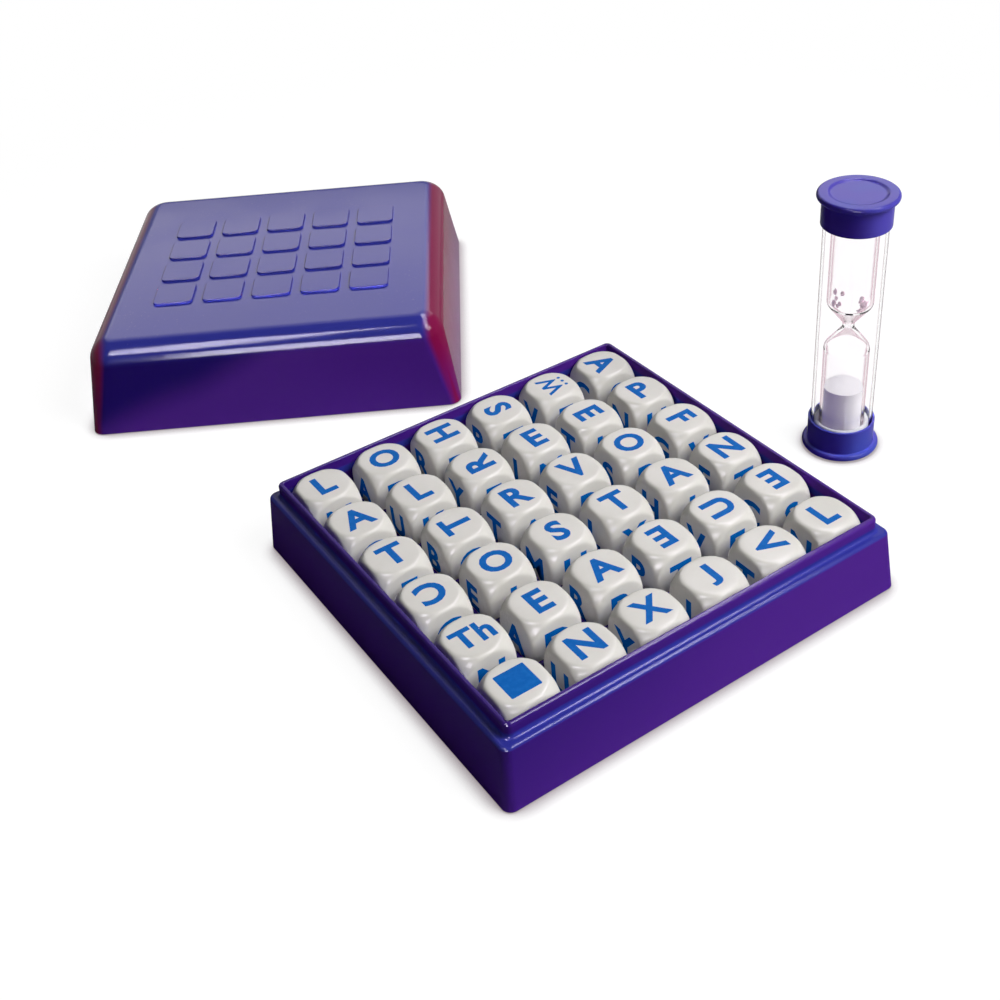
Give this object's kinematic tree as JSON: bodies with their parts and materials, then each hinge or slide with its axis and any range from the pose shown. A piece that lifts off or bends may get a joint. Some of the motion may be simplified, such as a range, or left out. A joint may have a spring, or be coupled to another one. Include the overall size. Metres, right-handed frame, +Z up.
{
  "type": "letter dice word game",
  "caption": "Word game: a square tray of letter dice in ribbed cells, a deep drafted cover that goes over its rim, and a capped sand timer.",
  "frame": {"origin": "middle of the set's bounding box at the surface it stands on", "axes": "+Z up, +Y from the tray towards the cover, +X from the tray towards the timer"},
  "size_m": [0.2, 0.3288, 0.0864],
  "materials": {
    "violet_plastic": "polished, slightly see-through violet",
    "ivory_plastic": "satin off-white with dark blue letters",
    "timer_blue": "glossy blue-violet",
    "clear_tube": "clear, thin-walled",
    "bulb_glass": "clear, drawn",
    "white_packing": "soft white",
    "white_sand": "fine white grains"
  },
  "bodies": {
    "tray": {"tray": "violet_plastic"},
    "cover": {"cover": "violet_plastic"},
    "timer": {"timer_bottom_cap": "timer_blue", "timer_top_cap": "timer_blue", "timer_tube": "clear_tube", "timer_bottom_packing": "white_packing", "timer_top_packing": "white_packing", "timer_glass": "bulb_glass", "timer_stopper": "white_packing", "timer_sand": "white_sand"},
    "die_a1": {"die_a1": "ivory_plastic"},
    "die_b1": {"die_b1": "ivory_plastic"},
    "die_c1": {"die_c1": "ivory_plastic"},
    "die_d1": {"die_d1": "ivory_plastic"},
    "die_e1": {"die_e1": "ivory_plastic"},
    "die_f1": {"die_f1": "ivory_plastic"},
    "die_a2": {"die_a2": "ivory_plastic"},
    "die_b2": {"die_b2": "ivory_plastic"},
    "die_c2": {"die_c2": "ivory_plastic"},
    "die_d2": {"die_d2": "ivory_plastic"},
    "die_e2": {"die_e2": "ivory_plastic"},
    "die_f2": {"die_f2": "ivory_plastic"},
    "die_a3": {"die_a3": "ivory_plastic"},
    "die_b3": {"die_b3": "ivory_plastic"},
    "die_c3": {"die_c3": "ivory_plastic"},
    "die_d3": {"die_d3": "ivory_plastic"},
    "die_e3": {"die_e3": "ivory_plastic"},
    "die_f3": {"die_f3": "ivory_plastic"},
    "die_a4": {"die_a4": "ivory_plastic"},
    "die_b4": {"die_b4": "ivory_plastic"},
    "die_c4": {"die_c4": "ivory_plastic"},
    "die_d4": {"die_d4": "ivory_plastic"},
    "die_e4": {"die_e4": "ivory_plastic"},
    "die_f4": {"die_f4": "ivory_plastic"},
    "die_a5": {"die_a5": "ivory_plastic"},
    "die_b5": {"die_b5": "ivory_plastic"},
    "die_c5": {"die_c5": "ivory_plastic"},
    "die_d5": {"die_d5": "ivory_plastic"},
    "die_e5": {"die_e5": "ivory_plastic"},
    "die_f5": {"die_f5": "ivory_plastic"},
    "die_a6": {"die_a6": "ivory_plastic"},
    "die_b6": {"die_b6": "ivory_plastic"},
    "die_c6": {"die_c6": "ivory_plastic"},
    "die_d6": {"die_d6": "ivory_plastic"},
    "die_e6": {"die_e6": "ivory_plastic"},
    "die_f6": {"die_f6": "ivory_plastic"}
  },
  "joints": [
    {"name": "cover_lift", "type": "slide", "parent": "tray", "child": "cover", "axis": [0, 0, 1], "range_m": [0, 0.05]},
    {"name": "timer_turn_over", "type": "hinge", "parent": "tray", "child": "timer", "pos_m": [0.08804, -0.10503, 0.0432], "axis": [1, 0, 0], "range_deg": [0, 180]},
    {"name": "die_a1_lift", "type": "slide", "parent": "tray", "child": "die_a1", "axis": [0, 0, 1], "range_m": [0, 0.022]},
    {"name": "die_b1_lift", "type": "slide", "parent": "tray", "child": "die_b1", "axis": [0, 0, 1], "range_m": [0, 0.022]},
    {"name": "die_c1_lift", "type": "slide", "parent": "tray", "child": "die_c1", "axis": [0, 0, 1], "range_m": [0, 0.022]},
    {"name": "die_d1_lift", "type": "slide", "parent": "tray", "child": "die_d1", "axis": [0, 0, 1], "range_m": [0, 0.022]},
    {"name": "die_e1_lift", "type": "slide", "parent": "tray", "child": "die_e1", "axis": [0, 0, 1], "range_m": [0, 0.022]},
    {"name": "die_f1_lift", "type": "slide", "parent": "tray", "child": "die_f1", "axis": [0, 0, 1], "range_m": [0, 0.022]},
    {"name": "die_a2_lift", "type": "slide", "parent": "tray", "child": "die_a2", "axis": [0, 0, 1], "range_m": [0, 0.022]},
    {"name": "die_b2_lift", "type": "slide", "parent": "tray", "child": "die_b2", "axis": [0, 0, 1], "range_m": [0, 0.022]},
    {"name": "die_c2_lift", "type": "slide", "parent": "tray", "child": "die_c2", "axis": [0, 0, 1], "range_m": [0, 0.022]},
    {"name": "die_d2_lift", "type": "slide", "parent": "tray", "child": "die_d2", "axis": [0, 0, 1], "range_m": [0, 0.022]},
    {"name": "die_e2_lift", "type": "slide", "parent": "tray", "child": "die_e2", "axis": [0, 0, 1], "range_m": [0, 0.022]},
    {"name": "die_f2_lift", "type": "slide", "parent": "tray", "child": "die_f2", "axis": [0, 0, 1], "range_m": [0, 0.022]},
    {"name": "die_a3_lift", "type": "slide", "parent": "tray", "child": "die_a3", "axis": [0, 0, 1], "range_m": [0, 0.022]},
    {"name": "die_b3_lift", "type": "slide", "parent": "tray", "child": "die_b3", "axis": [0, 0, 1], "range_m": [0, 0.022]},
    {"name": "die_c3_lift", "type": "slide", "parent": "tray", "child": "die_c3", "axis": [0, 0, 1], "range_m": [0, 0.022]},
    {"name": "die_d3_lift", "type": "slide", "parent": "tray", "child": "die_d3", "axis": [0, 0, 1], "range_m": [0, 0.022]},
    {"name": "die_e3_lift", "type": "slide", "parent": "tray", "child": "die_e3", "axis": [0, 0, 1], "range_m": [0, 0.022]},
    {"name": "die_f3_lift", "type": "slide", "parent": "tray", "child": "die_f3", "axis": [0, 0, 1], "range_m": [0, 0.022]},
    {"name": "die_a4_lift", "type": "slide", "parent": "tray", "child": "die_a4", "axis": [0, 0, 1], "range_m": [0, 0.022]},
    {"name": "die_b4_lift", "type": "slide", "parent": "tray", "child": "die_b4", "axis": [0, 0, 1], "range_m": [0, 0.022]},
    {"name": "die_c4_lift", "type": "slide", "parent": "tray", "child": "die_c4", "axis": [0, 0, 1], "range_m": [0, 0.022]},
    {"name": "die_d4_lift", "type": "slide", "parent": "tray", "child": "die_d4", "axis": [0, 0, 1], "range_m": [0, 0.022]},
    {"name": "die_e4_lift", "type": "slide", "parent": "tray", "child": "die_e4", "axis": [0, 0, 1], "range_m": [0, 0.022]},
    {"name": "die_f4_lift", "type": "slide", "parent": "tray", "child": "die_f4", "axis": [0, 0, 1], "range_m": [0, 0.022]},
    {"name": "die_a5_lift", "type": "slide", "parent": "tray", "child": "die_a5", "axis": [0, 0, 1], "range_m": [0, 0.022]},
    {"name": "die_b5_lift", "type": "slide", "parent": "tray", "child": "die_b5", "axis": [0, 0, 1], "range_m": [0, 0.022]},
    {"name": "die_c5_lift", "type": "slide", "parent": "tray", "child": "die_c5", "axis": [0, 0, 1], "range_m": [0, 0.022]},
    {"name": "die_d5_lift", "type": "slide", "parent": "tray", "child": "die_d5", "axis": [0, 0, 1], "range_m": [0, 0.022]},
    {"name": "die_e5_lift", "type": "slide", "parent": "tray", "child": "die_e5", "axis": [0, 0, 1], "range_m": [0, 0.022]},
    {"name": "die_f5_lift", "type": "slide", "parent": "tray", "child": "die_f5", "axis": [0, 0, 1], "range_m": [0, 0.022]},
    {"name": "die_a6_lift", "type": "slide", "parent": "tray", "child": "die_a6", "axis": [0, 0, 1], "range_m": [0, 0.022]},
    {"name": "die_b6_lift", "type": "slide", "parent": "tray", "child": "die_b6", "axis": [0, 0, 1], "range_m": [0, 0.022]},
    {"name": "die_c6_lift", "type": "slide", "parent": "tray", "child": "die_c6", "axis": [0, 0, 1], "range_m": [0, 0.022]},
    {"name": "die_d6_lift", "type": "slide", "parent": "tray", "child": "die_d6", "axis": [0, 0, 1], "range_m": [0, 0.022]},
    {"name": "die_e6_lift", "type": "slide", "parent": "tray", "child": "die_e6", "axis": [0, 0, 1], "range_m": [0, 0.022]},
    {"name": "die_f6_lift", "type": "slide", "parent": "tray", "child": "die_f6", "axis": [0, 0, 1], "range_m": [0, 0.022]}
  ]
}
